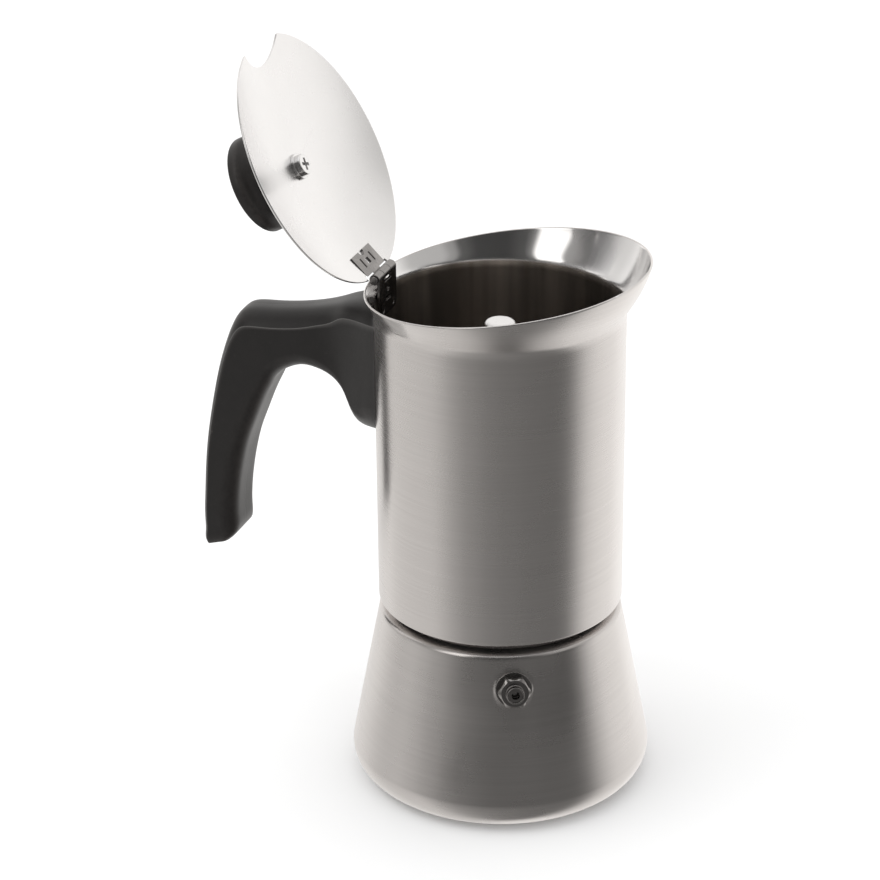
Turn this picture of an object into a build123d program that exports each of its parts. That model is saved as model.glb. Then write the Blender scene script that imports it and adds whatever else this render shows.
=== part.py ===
from build123d import *
import math
import os

os.makedirs("parts", exist_ok=True)

# Moka pot, millimetres. Origin: centre of the boiler's flat bottom. +Z up, +X towards the
# spout, -X towards the handle and the lid hinge.

# ---- driving dimensions ---------------------------------------------------------------
SHEET = 0.8                 # wall of the pressed sheet pieces
FUNNEL_SHEET = 0.7

BASE_R = 52.15              # sloping wall's radius where the foot's rounding begins
BASE_FILLET = 8.7
SHOULDER_R = 41.6
SHOULDER_Z = 62.9
SHOULDER_ROUND = 1.8
NECK_R = 32.0               # outer radius of the neck between the threads
NECK_WALL = 1.4
NECK_TOP_Z = 74.0

THREAD_LEAD = 3.0
THREAD_HEIGHT = 1.0
THREAD_ROOT_WIDTH = 1.3
THREAD_CREST_WIDTH = 0.6
THREAD_CLEAR = 0.35         # radial gap, crest to root
THREAD_START_Z = 65.6
NECK_TURNS = 2.1
COLLAR_TURNS = 1.4
EMBED = 0.3                 # how far a rib runs into the wall that carries it

UPPER_R = 42.0              # outer radius of the collector wall
UPPER_BOTTOM_Z = 66.3
SKIRT_R = 38.0
SKIRT_Z = 63.7
COLLAR_WALL = 1.8
FLARE_Z = 172.8             # where the wall turns out into the flare
FLARE_SLOPE = 0.75
FLARE_CURVE = 0.0148        # how fast the flare steepens again towards the rim
FLARE_SOFT = 1.2            # half-width of the soft turn
RIM_Z = 182.8               # height of the slanted rim on the pot's axis
RIM_SLOPE = 0.1265

FLANGE_T = 0.8              # funnel flange lying on the neck
BASKET_CLEAR = 0.4          # radial gap, basket to the neck's bore
BASKET_R = NECK_R - NECK_WALL - BASKET_CLEAR
BASKET_FLOOR_Z = 57.5
BASKET_CONE_Z = 50.0
STEM_R = 5.0
STEM_END_Z = 6.0
GASKET_T = 2.5
GASKET_LAP = 3.2            # how far the gasket covers the basket's rim
GASKET_IN_R = BASKET_R - GASKET_LAP
GASKET_GAP = 0.5            # gasket and filter plate to the collar's bore
PLATE_T = 0.5
SCREEN_T = 0.5

COLUMN_R = 4.4
COLUMN_WALL = 0.7
COLUMN_TOP_Z = 160.0
CAP_R = 5.4
CAP_TOP_Z = 167.0

VALVE_ANGLE = -65.6
VALVE_Z = 51.5
PAD_R = 6.8
WASHER_R = 6.2
WASHER_T = 0.8
HEX_FLATS = 10.0
HEX_TOP = 5.0               # height of the hexagon above the wall
BOSS_R = 2.95
BOSS_TOP = 7.4
VALVE_BORE_R = 2.45
VALVE_STUB_R = 4.0
VALVE_STUB_END = -7.0
SEAT_END = -4.5
SEAT_HOLE_R = 1.2
RETAINER_HOLE_R = 1.4
RETAINER_BOTTOM = 5.6
PLUNGER_CLEAR = 0.06
PLUNGER_HEAD = 1.8
PLUNGER_STEM_R = 0.8
PLUNGER_TRAVEL = 1.5
NUT_FLATS = 12.0
NUT_T = 3.0
NUT_TOP = -1.4              # the nut's corners touch the curved inside of the wall

PIN_Z = 179.0               # lid hinge pin
PIN_R = 0.9
PIN_CLEAR = 0.05
LEAF_T = 0.9
LEAF_HALF = 7.8
LEAF_SEAT = 0.005           # leaf's edges to the round wall they rest on
LEAF_BACK = math.sqrt((UPPER_R - SHEET) ** 2 - LEAF_HALF ** 2) - LEAF_SEAT
PIN_X = -LEAF_BACK - PIN_R - PIN_CLEAR
KNUCKLE_HALF = 2.8
KNUCKLE_GAP = 0.2
LEAF_BOTTOM_Z = 165.0

LID_R = 43.9
LID_RISE = 8.9
LID_OPEN = 118.0            # slope of the open lid, degrees from +X
PIN_BELOW_LID = 1.07
NOTCH_R = 16.8
NOTCH_CENTRE = 52.1
RELIEF_DEPTH = 2.6
RELIEF_GAP = 0.4
LID_LEAF_SLOPE = 17.0
LID_LEAF_LENGTH = 10.5

KNOB_R = 16.75
KNOB_FOOT_R = 9.0
KNOB_HEIGHT = 17.6
KNOB_WAIST = 6.0
SCREW_R = 2.0
SCREW_HEAD_R = 3.7
SCREW_HEAD_T = 1.9
SCREW_LENGTH = 12.0
KNOB_WASHER_R = 4.5
KNOB_WASHER_T = 1.1
INSERT_R = 3.4
INSERT_LENGTH = 10.0
HOLE_CLEAR = 0.1

GRIP_HALF = 10.5
GRIP_HEAD_HALF = 18.0
GRIP_EDGE = 3.0
BRACKET_T = 1.5
BRACKET_HALF = 6.0
BRACKET_LOW_Z = 134.0
BRACKET_HIGH_Z = 160.0
TONGUE_X = -66.0
TONGUE_T = 3.0
TONGUE_Z = 152.0
GRIP_SCREW_X = -60.0

BIG = 200.0


# ---- helpers --------------------------------------------------------------------------
def spun(points):
    """Solid of revolution about Z from (radius, height) points."""
    outline = Polyline(*[(r, 0, z) for r, z in points], close=True)
    return revolve(make_face(outline), Axis.Z)


def cylinder(radius, low, high):
    """Upright cylinder on the Z axis between two heights."""
    return Pos(0, 0, (low + high) / 2) * Cylinder(radius, high - low)


def ring(inner, outer, low, high):
    return cylinder(outer, low, high) - cylinder(inner, low - 1, high + 1)


def box_between(x, y, z):
    """Box given by its (low, high) pair on each axis."""
    centre = Pos((x[0] + x[1]) / 2, (y[0] + y[1]) / 2, (z[0] + z[1]) / 2)
    return centre * Box(x[1] - x[0], y[1] - y[0], z[1] - z[0])


def hexagon(flats, low, high):
    return Pos(0, 0, low) * extrude(RegularPolygon(flats / 2, 6, major_radius=False), high - low)


def thread_rib(base_r, crest_r, start_z, turns):
    """Helical rib of tapered section; the base is sunk into the wall that carries it."""
    path = Helix(THREAD_LEAD, turns * THREAD_LEAD, base_r, center=(0, 0, start_z))
    half_root = THREAD_ROOT_WIDTH / 2
    half_crest = THREAD_CREST_WIDTH / 2
    outline = Polyline((base_r, 0, start_z - half_root), (crest_r, 0, start_z - half_crest),
                       (crest_r, 0, start_z + half_crest), (base_r, 0, start_z + half_root),
                       close=True)
    return sweep(make_face(outline), path=path, is_frenet=True)


def perforated(radius, low, high, rings, hole_r):
    """Round plate with rings of holes six apart from ring to ring."""
    plate = cylinder(radius, low, high)
    pitch = (radius - 4 * hole_r) / (rings + 0.5)
    holes = []
    for index in range(1, rings + 1):
        for place in PolarLocations(pitch * index, 6 * index):
            holes.append(place * cylinder(hole_r, low - 1, high + 1))
    return plate - holes


LEAN = math.atan2(BASE_R - SHOULDER_R, SHOULDER_Z - BASE_FILLET)


def wall_radius(z):
    """Outer radius of the boiler's sloping wall at a height."""
    return BASE_R + math.tan(LEAN) * (BASE_FILLET - z)


def on_wall():
    """Valve frame: origin on the boiler's sloping wall, Z along the outward normal."""
    place = Rot(0, 0, VALVE_ANGLE) * Pos(wall_radius(VALVE_Z), 0, VALVE_Z)
    return place * Rot(0, 90 - math.degrees(LEAN), 0)


def in_lid():
    """Lid frame in the open pose: origin at the middle of the lid's edge plane, X from the
    hinge to the steam notch, Z out of the domed side."""
    turn = math.radians(LID_OPEN)
    along = LID_R - 0.1
    x = PIN_X + along * math.cos(turn) - PIN_BELOW_LID * math.sin(turn)
    z = PIN_Z + along * math.sin(turn) + PIN_BELOW_LID * math.cos(turn)
    return Pos(x, 0, z) * Rot(0, -LID_OPEN, 0)


# ---- boiler ---------------------------------------------------------------------------
def boiler_shell():
    def body(inset):
        wall = inset / math.cos(LEAN)
        top = SHOULDER_Z - inset
        solid = spun([(0, inset), (wall_radius(inset) - wall, inset),
                      (wall_radius(top) - wall, top), (0, top)])
        edges = solid.edges().filter_by(GeomType.CIRCLE).sort_by(Axis.Z)
        solid = fillet(edges[0], BASE_FILLET - inset)
        top = solid.edges().filter_by(GeomType.CIRCLE).sort_by(Axis.Z)[-1]
        return fillet(top, SHOULDER_ROUND - inset)

    shell = body(0) + cylinder(NECK_R, SHOULDER_Z - 1, NECK_TOP_Z)
    shell += on_wall() * cylinder(PAD_R, -2 * SHEET, 0)
    shell += thread_rib(NECK_R - EMBED, NECK_R + THREAD_HEIGHT, THREAD_START_Z, NECK_TURNS)
    shell -= body(SHEET)
    shell -= cylinder(NECK_R - NECK_WALL, SHOULDER_Z - 2, NECK_TOP_Z + 1)
    return shell - on_wall() * cylinder(VALVE_STUB_R, -6, 2)


def valve_washer():
    return on_wall() * ring(VALVE_STUB_R, WASHER_R, 0, WASHER_T)


def valve_body():
    hexed = hexagon(HEX_FLATS, WASHER_T, HEX_TOP)
    corner = HEX_FLATS / math.sqrt(3)
    hexed = hexed & spun([(0, WASHER_T), (corner, WASHER_T), (corner, HEX_TOP - 0.7),
                          (HEX_FLATS / 2 - 0.4, HEX_TOP), (0, HEX_TOP)])
    boss = cylinder(BOSS_R, HEX_TOP - 1, BOSS_TOP)
    boss = fillet(boss.edges().sort_by(Axis.Z)[-1], 0.45)
    solid = hexed + boss + cylinder(VALVE_STUB_R, VALVE_STUB_END, WASHER_T + 1)
    solid -= cylinder(VALVE_BORE_R, SEAT_END, BOSS_TOP + 1)
    return on_wall() * (solid - cylinder(SEAT_HOLE_R, VALVE_STUB_END - 1, 0))


def valve_nut():
    nut = hexagon(NUT_FLATS, NUT_TOP - NUT_T, NUT_TOP)
    return on_wall() * (nut - cylinder(VALVE_STUB_R, NUT_TOP - NUT_T - 1, 1))


def valve_retainer():
    low = RETAINER_BOTTOM
    return on_wall() * ring(RETAINER_HOLE_R, VALVE_BORE_R, low, BOSS_TOP - 0.5)


def valve_plunger():
    head = cylinder(VALVE_BORE_R - PLUNGER_CLEAR, SEAT_END, SEAT_END + PLUNGER_HEAD)
    stem = cylinder(PLUNGER_STEM_R, SEAT_END, RETAINER_BOTTOM + 0.2 - PLUNGER_TRAVEL)
    return on_wall() * (head + stem)


def valve_spring():
    wire = 0.2
    low = SEAT_END + PLUNGER_HEAD + wire
    high = RETAINER_BOTTOM - wire
    radius = (PLUNGER_STEM_R + VALVE_BORE_R) / 2
    path = Helix((high - low) / 5, high - low, radius, center=(0, 0, low))
    section = Pos(radius, 0, low) * Rot(90, 0, 0) * Circle(wire)
    return on_wall() * sweep(section, path=path, is_frenet=True)


# ---- funnel and seal ------------------------------------------------------------------
FUNNEL_TOP_Z = NECK_TOP_Z + FLANGE_T
GASKET_TOP_Z = FUNNEL_TOP_Z + GASKET_T
SEAT_Z = GASKET_TOP_Z + PLATE_T
COLLAR_BORE = NECK_R + THREAD_HEIGHT + THREAD_CLEAR
SEAL_R = COLLAR_BORE - GASKET_GAP


def funnel_basket():
    t = FUNNEL_SHEET
    return spun([(BASKET_R, FUNNEL_TOP_Z - FLANGE_T), (NECK_R, FUNNEL_TOP_Z - FLANGE_T),
                 (NECK_R, FUNNEL_TOP_Z), (BASKET_R - t, FUNNEL_TOP_Z),
                 (BASKET_R - t, BASKET_FLOOR_Z), (STEM_R, BASKET_CONE_Z + t),
                 (STEM_R, BASKET_CONE_Z - 1), (STEM_R + t, BASKET_CONE_Z - 1),
                 (STEM_R + t, BASKET_CONE_Z), (BASKET_R, BASKET_FLOOR_Z - t)])


def funnel_stem():
    return ring(STEM_R - FUNNEL_SHEET, STEM_R, STEM_END_Z, BASKET_CONE_Z + FUNNEL_SHEET)


def funnel_screen():
    edge = BASKET_R - FUNNEL_SHEET
    return perforated(edge, BASKET_FLOOR_Z, BASKET_FLOOR_Z + SCREEN_T, 6, 0.7)


def gasket():
    solid = ring(GASKET_IN_R, SEAL_R, FUNNEL_TOP_Z, GASKET_TOP_Z)
    return fillet(solid.edges().filter_by(GeomType.CIRCLE), 0.3)


def filter_plate():
    return perforated(SEAL_R, GASKET_TOP_Z, SEAT_Z, 7, 0.6)


# ---- collector ------------------------------------------------------------------------
def flare_radius(z):
    above = z - FLARE_Z
    rise = (above + math.hypot(above, FLARE_SOFT)) / 2
    return UPPER_R + FLARE_SLOPE * rise - FLARE_CURVE * rise * rise


def collector_body():
    top = RIM_Z + RIM_SLOPE * BASE_R + 4
    start = FLARE_Z - 2.5 * FLARE_SOFT
    heights = [FLARE_Z + share * (top - FLARE_Z) for share in (0, 0.12, 0.3, 0.6, 1)]
    t = SHEET

    def flared(inset):
        marks = [(UPPER_R - inset, 0, start)]
        marks += [(flare_radius(z) - inset, 0, z) for z in heights]
        return Spline(*marks, tangents=[(0, 0, 1), (flare_slope(top), 0, 1)])

    def flare_slope(z):
        return FLARE_SLOPE - 2 * FLARE_CURVE * (z - FLARE_Z)

    outside = flared(0)
    inside = flared(t)
    down = Polyline(outside @ 0, (UPPER_R, 0, UPPER_BOTTOM_Z + 0.6),
                    (UPPER_R - 0.6, 0, UPPER_BOTTOM_Z), (SKIRT_R, 0, SKIRT_Z),
                    (SKIRT_R, 0, SKIRT_Z + t), (UPPER_R - t - 0.4, 0, UPPER_BOTTOM_Z + t),
                    (UPPER_R - t, 0, UPPER_BOTTOM_Z + t + 0.4), inside @ 0)
    wall = revolve(make_face([outside, down, inside, Line(outside @ 1, inside @ 1)]), Axis.Z)
    lean = math.degrees(math.atan(RIM_SLOPE))
    above = Pos(0, 0, RIM_Z) * Rot(0, -lean, 0) * cylinder(BIG, 0, BIG)
    return wall - above


def collector_floor():
    t = SHEET
    lip = UPPER_R - SHEET
    return spun([(lip, SEAT_Z + 0.5), (lip, SEAT_Z + 5), (lip - t, SEAT_Z + 5),
                 (lip - t, SEAT_Z + t + 0.5), (COLLAR_BORE + 1, SEAT_Z + t),
                 (GASKET_IN_R, SEAT_Z + t), (COLUMN_R + t, SEAT_Z + 5.6),
                 (COLUMN_R + t, SEAT_Z + 9), (COLUMN_R, SEAT_Z + 9), (COLUMN_R, SEAT_Z + 5),
                 (GASKET_IN_R - t, SEAT_Z), (COLLAR_BORE + COLLAR_WALL, SEAT_Z),
                 (COLLAR_BORE + COLLAR_WALL + 1, SEAT_Z + 0.5)])


def collector_collar():
    outer = COLLAR_BORE + COLLAR_WALL
    low = SKIRT_Z + 0.2
    wall = ring(COLLAR_BORE, outer, low, SEAT_Z)
    foot = ring(COLLAR_BORE, SKIRT_R, low, low + SHEET)
    rib = thread_rib(COLLAR_BORE + EMBED, NECK_R + THREAD_CLEAR,
                     THREAD_START_Z + THREAD_LEAD / 2, COLLAR_TURNS)
    return wall + foot + rib


def column():
    return ring(COLUMN_R - COLUMN_WALL, COLUMN_R, SEAT_Z + 5, COLUMN_TOP_Z)


def column_cap():
    """Bright cap on the chimney, with two outlets in its side."""
    cap = cylinder(CAP_R, COLUMN_TOP_Z - 8, CAP_TOP_Z)
    cap = fillet(cap.edges().sort_by(Axis.Z)[-1], 0.8)
    cap -= cylinder(COLUMN_R, COLUMN_TOP_Z - 9, COLUMN_TOP_Z)
    cap -= cylinder(COLUMN_R - COLUMN_WALL, COLUMN_TOP_Z - 1, CAP_TOP_Z - 1)
    outlet = Pos(0, 0, (COLUMN_TOP_Z + CAP_TOP_Z) / 2) * Rot(0, 90, 0) * Cylinder(1.6, 4 * CAP_R)
    return cap - outlet


# ---- handle ---------------------------------------------------------------------------
def handle_grip():
    back = Spline((-91, 0, 159.9), (-97.6, 0, 150.5), (-101.8, 0, 133), (-105.8, 0, 112),
                  (-108.2, 0, 91), (-109, 0, 74))
    foot = Spline(back @ 1, (-105, 0, 70.6), (-97, 0, 73.2), (-94.2, 0, 79.5))
    front = Spline(foot @ 1, (-93.6, 0, 92), (-90.2, 0, 110), (-82.5, 0, 131),
                   (-76.5, 0, 139.6), (-68, 0, 143.1), (-59, 0, 140.8), (-53.2, 0, 135.4),
                   (-49.4, 0, 127.2))
    base = Polyline(front @ 1, (-47.2, 0, 125.6), (-30, 0, 125.2), (-30, 0, 171.4),
                    (-41, 0, 169.8))
    top = Spline(base @ 1, (-52.6, 0, 167), (-62.7, 0, 163.7), (-75.8, 0, 161.1), back @ 0)
    side = extrude(make_face([back, foot, front, base, top]), GRIP_HEAD_HALF + 2, both=True)
    waist = (-60, GRIP_HALF)
    head = (-36, GRIP_HEAD_HALF)
    flare = Spline(waist, (-50, GRIP_HALF + 1.6), head, tangents=[(1, 0), (1, 0.9)])
    outline = [Line((-112, GRIP_HALF), waist), flare, Line(head, (head[0], -head[1])),
               mirror(flare, Plane.XZ), Line((-112, -GRIP_HALF), (waist[0], -waist[1])),
               Line((-112, GRIP_HALF), (-112, -GRIP_HALF))]
    plan = extrude(make_face(outline), BIG)
    grip = side & plan
    long_edges = [edge for edge in grip.edges()
                  if edge.bounding_box().min.X < -60 and edge.length > 4]
    grip = fillet(long_edges, GRIP_EDGE)
    grip -= cylinder(UPPER_R, 100, 185)
    return grip - bracket_solid(HOLE_CLEAR) - screw_solid(HOLE_CLEAR)


def bracket_solid(gap):
    """Curved pad on the collector wall with a tongue running into the grip."""
    pad = ring(UPPER_R, UPPER_R + BRACKET_T + gap, BRACKET_LOW_Z - gap, BRACKET_HIGH_Z + gap)
    half = BRACKET_HALF + gap
    pad &= box_between((-60, -30), (-half, half), (BRACKET_LOW_Z - 1, BRACKET_HIGH_Z + 1))
    low = TONGUE_Z - gap
    tongue = box_between((TONGUE_X - gap, -UPPER_R - 0.5), (-half + 1, half - 1),
                         (low, TONGUE_Z + TONGUE_T + gap))
    return pad + tongue


def screw_solid(gap):
    """Countersunk screw up through the underside of the grip into the tongue."""
    low = 144.0
    shank = cylinder(SCREW_R + gap, low, TONGUE_Z + TONGUE_T + 1.5 + gap)
    head = cylinder(3.6 + gap, low - 6 * gap / HOLE_CLEAR, low + 2)
    return Pos(GRIP_SCREW_X, 0, 0) * (shank + head)


def handle_screw():
    slot = 0.6
    low = 144.0
    cross = box_between((-2.2, 2.2), (-slot / 2, slot / 2), (low - 1, low + 1.2))
    cross += box_between((-slot / 2, slot / 2), (-2.2, 2.2), (low - 1, low + 1.2))
    return screw_solid(0) - Pos(GRIP_SCREW_X, 0, 0) * cross


def handle_bracket():
    return bracket_solid(0) - Pos(GRIP_SCREW_X, 0, 0) * cylinder(SCREW_R, 140, 170)


# ---- lid hinge ------------------------------------------------------------------------
KNUCKLE_R = PIN_R + PIN_CLEAR + LEAF_T


def barrel(low, high):
    """Knuckle along Y round the hinge pin, with its bore left open."""
    place = Pos(PIN_X, 0, PIN_Z) * Rot(-90, 0, 0)
    return place * ring(PIN_R + PIN_CLEAR, KNUCKLE_R, low, high)


def vessel_leaf():
    face = PIN_X + KNUCKLE_R
    plate = box_between((face - LEAF_T, face), (-LEAF_HALF, LEAF_HALF), (LEAF_BOTTOM_Z, PIN_Z))
    plate = fillet(plate.edges().filter_by(Axis.X).sort_by(Axis.Z)[:2], 2.5)
    gap = KNUCKLE_HALF + KNUCKLE_GAP
    clear = KNUCKLE_R + 0.4
    plate -= box_between((face - 3, face + 1), (-gap, gap), (PIN_Z - clear, PIN_Z + 1))
    plate -= Pos(face, 0, 173.8) * Rot(0, 90, 0) * Cylinder(1.2, 4)
    slot = Pos(face, 0, 170.4) * Rot(0, 90, 0) * Rot(0, 0, 90) * extrude(SlotOverall(4.6, 1.5), 4,
                                                                         both=True)
    plate -= slot
    knuckles = [barrel(gap, LEAF_HALF), barrel(-LEAF_HALF, -gap)]
    plate -= Pos(PIN_X, 0, PIN_Z) * Rot(90, 0, 0) * Cylinder(PIN_R + PIN_CLEAR, 40)
    for side in (-1, 1):
        dent = Pos(face, side * 4.6, 167.4) * Rot(0, 90, 0) * Cylinder(1.1, 0.3)
        plate -= dent
    return plate + knuckles


def hinge_pin():
    pin = Pos(PIN_X, 0, PIN_Z) * Rot(90, 0, 0) * Cylinder(PIN_R, 2 * LEAF_HALF + 1.6)
    ends = []
    for side in (-1, 1):
        middle = side * (LEAF_HALF + 0.55)
        ends.append(Pos(PIN_X, middle, PIN_Z) * Rot(90, 0, 0) * Cylinder(PIN_R + 0.5, 0.7))
    return pin + ends


# ---- lid ------------------------------------------------------------------------------
def dome(lift):
    """Everything under a spherical cap through the lid's edge circle, raised by lift."""
    radius = (LID_R ** 2 + LID_RISE ** 2) / (2 * LID_RISE)
    ball = Pos(0, 0, LID_RISE - radius) * Sphere(radius + lift)
    return ball & cylinder(LID_R + 20, -20, LID_RISE + 5)


def lid_plate():
    plate = (dome(SHEET) - dome(0)) & cylinder(LID_R, -2, LID_RISE + 5)
    plate &= cylinder(LID_R, -0.15, LID_RISE + 5)
    plate -= Pos(NOTCH_CENTRE, 0, 0) * cylinder(NOTCH_R, -5, 20)
    half = LEAF_HALF + RELIEF_GAP + 0.8
    plate -= box_between((-LID_R - 2, -LID_R + RELIEF_DEPTH), (-half, half), (-3, 6))
    return in_lid() * (plate - cylinder(SCREW_R + HOLE_CLEAR, 0, 20))


def lid_leaf():
    pin_x = -LID_R + 0.1
    place = Pos(pin_x, 0, -PIN_BELOW_LID) * Rot(0, -LID_LEAF_SLOPE, 0)
    top = KNUCKLE_R
    start = 2.3
    plate = box_between((start, LID_LEAF_LENGTH), (-LEAF_HALF, LEAF_HALF), (top - LEAF_T, top))
    plate += box_between((0, start + 1), (-KNUCKLE_HALF, KNUCKLE_HALF), (top - LEAF_T, top))
    for side in (-1, 1):
        outer = side * LEAF_HALF
        inner = side * (LEAF_HALF - LEAF_T)
        y = (min(outer, inner), max(outer, inner))
        plate += box_between((start, LID_LEAF_LENGTH), y, (top - LEAF_T, top + 4))
    plate -= Pos(LID_LEAF_LENGTH, 0, 0) * Cylinder(1.8, 20)
    plate -= box_between((5.2, 7.4), (-1.1, 1.1), (-2, 6))
    for side in (-1, 1):
        slit = Pos(6.6, side * 3.8, top) * Box(3.6, 0.9, 6)
        plate -= slit
    plate -= Rot(90, 0, 0) * Cylinder(PIN_R + PIN_CLEAR, 40)
    knuckle = Rot(-90, 0, 0) * ring(PIN_R + PIN_CLEAR, KNUCKLE_R, -KNUCKLE_HALF, KNUCKLE_HALF)
    return in_lid() * (place * (plate + knuckle) & dome(0))


def knob():
    low = LID_RISE + SHEET
    high = low + KNOB_HEIGHT
    side = Spline((KNOB_FOOT_R, 0, low + 1), (KNOB_FOOT_R + 0.6, 0, low + KNOB_WAIST),
                  (KNOB_R - 0.3, 0, high - 5.5), (KNOB_R, 0, high - 3))
    over = Spline(side @ 1, (KNOB_R - 1.2, 0, high - 0.9), (KNOB_R - 6, 0, high - 0.2),
                  (0, 0, high), tangents=[(0, 0, 1), (-1, 0, 0)])
    rest = Polyline(over @ 1, (0, 0, low), (KNOB_FOOT_R - 0.6, 0, low - 0.35), side @ 0)
    solid = revolve(make_face([side, over, rest]), Axis.Z) - dome(SHEET)
    solid -= cylinder(INSERT_R, low - 2, low + INSERT_LENGTH)
    return in_lid() * (solid - cylinder(SCREW_R + HOLE_CLEAR, low, low + SCREW_LENGTH))


def knob_insert():
    low = LID_RISE + SHEET
    solid = cylinder(INSERT_R, low, low + INSERT_LENGTH)
    return in_lid() * (solid - cylinder(SCREW_R, low - 1, low + INSERT_LENGTH + 1))


def knob_washer():
    high = LID_RISE
    solid = ring(SCREW_R + HOLE_CLEAR, KNOB_WASHER_R, high - KNOB_WASHER_T, high + 1)
    return in_lid() * (solid & dome(0))


def knob_screw():
    seat = LID_RISE - KNOB_WASHER_T
    head = cylinder(SCREW_HEAD_R, seat - SCREW_HEAD_T, seat)
    head = fillet(head.edges().sort_by(Axis.Z)[0], 0.7)
    low = seat - SCREW_HEAD_T
    for turn in (0, 90):
        head -= Rot(0, 0, turn + 20) * box_between((-2.1, 2.1), (-0.5, 0.5), (low - 1, low + 1.3))
    return in_lid() * (head + cylinder(SCREW_R, seat - 0.5, seat + SCREW_LENGTH))


PIECES = [boiler_shell, valve_washer, valve_body, valve_nut, valve_retainer, valve_plunger,
          valve_spring, funnel_basket, funnel_stem, funnel_screen, gasket, filter_plate,
          collector_body, collector_floor, collector_collar, column, column_cap,
          handle_grip, handle_bracket, handle_screw, vessel_leaf, hinge_pin, lid_plate,
          lid_leaf, knob, knob_insert, knob_washer, knob_screw]

for piece in PIECES:
    shape = piece()
    solids = shape.solids()
    print(piece.__name__, len(solids), round(sum(s.volume for s in solids), 1), shape.is_valid)
    export_step(solids[0] if len(solids) == 1 else Compound(children=solids),
                "parts/" + piece.__name__ + ".step")
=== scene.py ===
import math

import bmesh
import bpy
import numpy as np
from bpy.props import FloatProperty, FloatVectorProperty, PointerProperty
from mathutils import Matrix


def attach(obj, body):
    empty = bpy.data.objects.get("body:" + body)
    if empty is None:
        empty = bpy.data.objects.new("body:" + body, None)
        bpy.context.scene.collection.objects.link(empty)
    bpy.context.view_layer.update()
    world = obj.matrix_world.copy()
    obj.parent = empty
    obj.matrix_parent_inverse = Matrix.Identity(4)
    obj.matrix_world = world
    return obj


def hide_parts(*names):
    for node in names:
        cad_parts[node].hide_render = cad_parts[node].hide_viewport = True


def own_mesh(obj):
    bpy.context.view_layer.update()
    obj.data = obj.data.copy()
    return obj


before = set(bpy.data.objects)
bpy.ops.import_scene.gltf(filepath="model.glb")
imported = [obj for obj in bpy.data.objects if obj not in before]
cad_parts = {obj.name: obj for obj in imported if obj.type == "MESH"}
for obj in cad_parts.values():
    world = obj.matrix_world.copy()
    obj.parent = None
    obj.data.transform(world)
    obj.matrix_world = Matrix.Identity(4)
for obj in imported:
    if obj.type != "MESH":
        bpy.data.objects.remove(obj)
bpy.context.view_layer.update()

bl_info = {
    "name": "Moka pot",
    "version": (1, 0, 0),
    "blender": (4, 5, 0),
    "location": "3D View > Sidebar > Moka pot",
    "description": "Builds the visible shells, grip, lid and finishes of a stove-top moka pot",
    "category": "Object",
}

MM = 0.001


# ---- sizes and finishes a user would change -------------------------------------------------
def length(name, text, value):
    return FloatProperty(name=name, description=text, default=value, unit="LENGTH", precision=5)


def share(name, text, value):
    return FloatProperty(name=name, description=text, default=value, min=0, max=1, subtype="FACTOR")


def tint(name, text, value):
    return FloatVectorProperty(name=name, description=text, default=value, size=3, min=0, max=1,
                               subtype="COLOR")


class PotSizes(bpy.types.PropertyGroup):
    """Sizes that the visible pieces share"""
    sheet: length("Sheet", "Wall of the pressed steel pieces", 0.0008)
    wall_radius: length("Collector radius", "Outer radius of the collector's straight wall", 0.042)
    flare_start: length("Flare height", "Height where the collector's wall turns out", 0.1728)
    rim_height: length("Rim height", "Height of the slanted rim on the pot's axis", 0.1828)
    base_radius: length("Base radius", "Radius of the boiler wall where the foot starts", 0.05215)
    shoulder_radius: length("Shoulder radius", "Radius of the boiler's wall at its top", 0.0416)
    shoulder_height: length("Shoulder height", "Height of the boiler's flat shoulder", 0.0629)
    lid_radius: length("Lid radius", "Radius of the lid's edge", 0.0439)
    lid_rise: length("Lid rise", "Height of the lid's dome above its edge", 0.0089)
    knob_radius: length("Knob radius", "Largest radius of the lid knob", 0.01675)
    grip_half: length("Grip half width", "Half the width of the handle's grip", 0.0105)
    lid_open: FloatProperty(name="Lid slope", description="Slope of the lid in the rest pose",
                            default=math.radians(118), subtype="ANGLE")
    valve_angle: FloatProperty(name="Valve angle", description="Angle of the valve round the pot",
                               default=math.radians(-65.6), subtype="ANGLE")


class PotFinishes(bpy.types.PropertyGroup):
    """Colours and roughness that the finishes share"""
    steel: tint("Steel", "Colour of the brushed steel", (0.615, 0.588, 0.572))
    bright: tint("Bright steel", "Colour of the polished steel", (0.80, 0.79, 0.786))
    plastic: tint("Plastic", "Colour of the grip and knob", (0.0092, 0.0078, 0.0072))
    # Darker colour inside the collector: painted shade.
    stain_and_shade: tint("Steel with painted shade", "Colour inside the collector", (0.30, 0.265, 0.235))
    brass: tint("Brass", "Colour of the threaded insert", (0.72, 0.53, 0.27))
    silicone: tint("Silicone", "Colour of the gasket", (0.78, 0.77, 0.73))
    brushed_rough: share("Brushed roughness", "Roughness of the brushed steel", 0.26)
    plastic_rough: share("Plastic roughness", "Roughness of the grip and knob", 0.38)


def sizes():
    return bpy.context.scene.pot_sizes


def finishes():
    return bpy.context.scene.pot_finishes


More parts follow.
